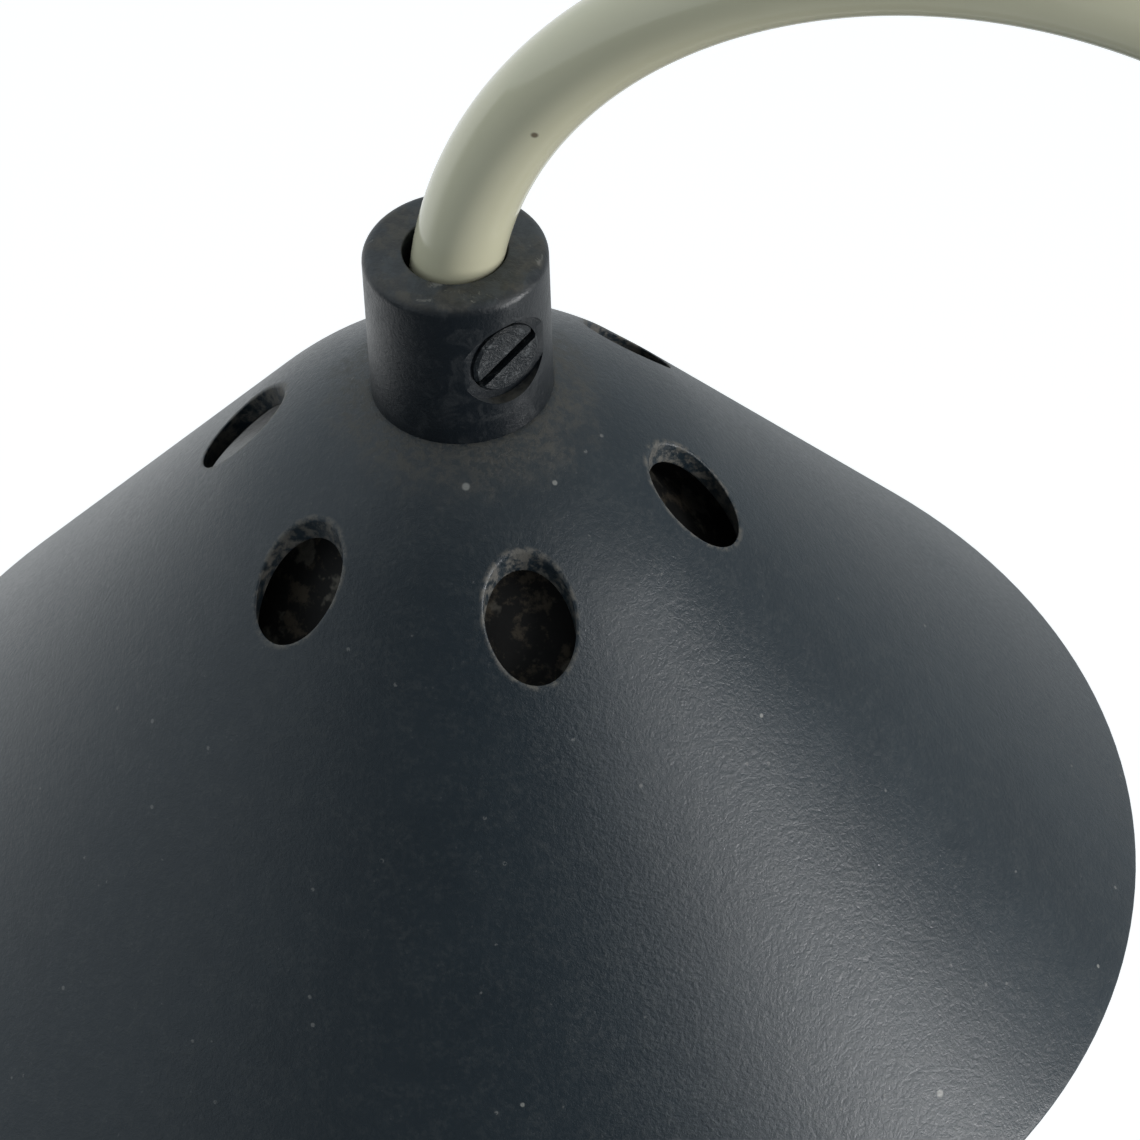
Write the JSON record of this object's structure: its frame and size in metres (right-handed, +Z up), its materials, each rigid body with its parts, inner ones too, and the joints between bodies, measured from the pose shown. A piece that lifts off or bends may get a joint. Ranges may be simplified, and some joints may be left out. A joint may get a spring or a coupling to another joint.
{
  "type": "arc floor lamp",
  "caption": "Arc floor lamp: weighted round base, telescoping upright and bent tube that holds a vented conical shade by a clamped collar.",
  "frame": {"origin": "centre of the base's underside, on the floor under the upright", "axes": "+Z up along the upright, -X towards the shade, so the bow lies in the XZ plane"},
  "size_m": [0.6472, 0.24, 1.4994],
  "materials": {
    "slate_moulding": "satin, moulded",
    "slate_paint": "satin paint on spun steel",
    "cream_lacquer": "glossy lacquer on steel tube",
    "black_moulding": "satin black, moulded",
    "nylon": "natural nylon",
    "reflector_skin": "white lacquer inside, dull outside",
    "zinc_steel": "zinc plated",
    "iron": "rough casting, dipped in black paint",
    "foot_rubber": "matt black rubber",
    "flex_sheath": "soft sheath",
    "brass": "pressed brass",
    "porcelain": "unglazed steatite",
    "opal_glass": "opal white",
    "black_glass": "black glass bead",
    "white_moulding": "white moulding"
  },
  "bodies": {
    "stand": {"base_cover": "slate_paint", "upright": "cream_lacquer", "height_clamp": "black_moulding", "base_socket": "black_moulding", "switch_body": "black_moulding", "switch_bezel": "black_moulding", "guide_bush": "nylon", "base_stud": "zinc_steel", "stud_nut": "zinc_steel", "stud_washer": "zinc_steel", "stud_spacer": "zinc_steel", "base_screws": "zinc_steel", "base_plate": "zinc_steel", "switch_spring": "zinc_steel", "terminal_screws": "zinc_steel", "base_weight": "iron", "foot_1": "foot_rubber", "foot_2": "foot_rubber", "foot_3": "foot_rubber", "foot_4": "foot_rubber", "centre_pad": "foot_rubber", "inlet_grommet": "foot_rubber", "base_flex": "flex_sheath", "slack_flex": "flex_sheath", "terminal_block": "white_moulding"},
    "base_clamp_screw": {"socket_screw": "black_moulding"},
    "thumb_screw": {"thumb_stud": "zinc_steel", "thumb_knob": "black_moulding"},
    "foot_button": {"switch_button": "black_moulding"},
    "slider": {"bow_slider": "nylon"},
    "bow": {"bow_tube": "cream_lacquer", "bow_flex": "flex_sheath"},
    "shade_head": {"shade": "slate_moulding", "shade_collar": "black_moulding", "shade_nipple": "zinc_steel", "shade_washer": "zinc_steel", "shade_reflector": "reflector_skin", "holder_cap": "black_moulding", "holder_skirt": "black_moulding", "holder_insert": "porcelain", "holder_shell": "brass", "holder_contact": "brass", "holder_terminals": "brass", "holder_leads": "flex_sheath"},
    "shade_clamp_screw": {"collar_screw": "black_moulding"},
    "bulb": {"bulb_glass": "opal_glass", "bulb_cap": "brass", "bulb_insulator": "black_glass", "bulb_contact": "brass"}
  },
  "joints": [
    {"name": "height", "type": "slide", "parent": "stand", "child": "slider", "axis": [0, 0, 1], "range_m": [-0.15, 0.15], "deforming": ["slack_flex"]},
    {"name": "bow_turn", "type": "hinge", "parent": "slider", "child": "bow", "pos_m": [0, 0, 0.27], "axis": [0, 0, 1], "range_deg": [-175, 175]},
    {"name": "shade_turn", "type": "hinge", "parent": "bow", "child": "shade_head", "pos_m": [-0.4332, 0, 1.422], "axis": [0, 0, 1], "range_deg": [-15, 15]},
    {"name": "bulb_out", "type": "slide", "parent": "shade_head", "child": "bulb", "axis": [0, 0, -1], "range_m": [0, 0.03]},
    {"name": "collar_screw_turn", "type": "hinge", "parent": "shade_head", "child": "shade_clamp_screw", "pos_m": [-0.42417, -0.00735, 1.4271], "axis": [0.7547, -0.6561, 0], "range_deg": [0, 180]},
    {"name": "thumb_screw_turn", "type": "hinge", "parent": "stand", "child": "thumb_screw", "pos_m": [0, -0.017, 0.613], "axis": [0, -1, 0], "range_deg": [0, 180]},
    {"name": "base_screw_turn", "type": "hinge", "parent": "stand", "child": "base_clamp_screw", "pos_m": [0.01298, -0.01128, 0.062], "axis": [0.7547, -0.6561, 0], "range_deg": [0, 180]},
    {"name": "switch_press", "type": "slide", "parent": "stand", "child": "foot_button", "axis": [0, 0, -1], "range_m": [0, 0.004], "stiffness_N_per_m": 400, "springref_m": -0.002, "deforming": ["switch_spring"]}
  ]
}
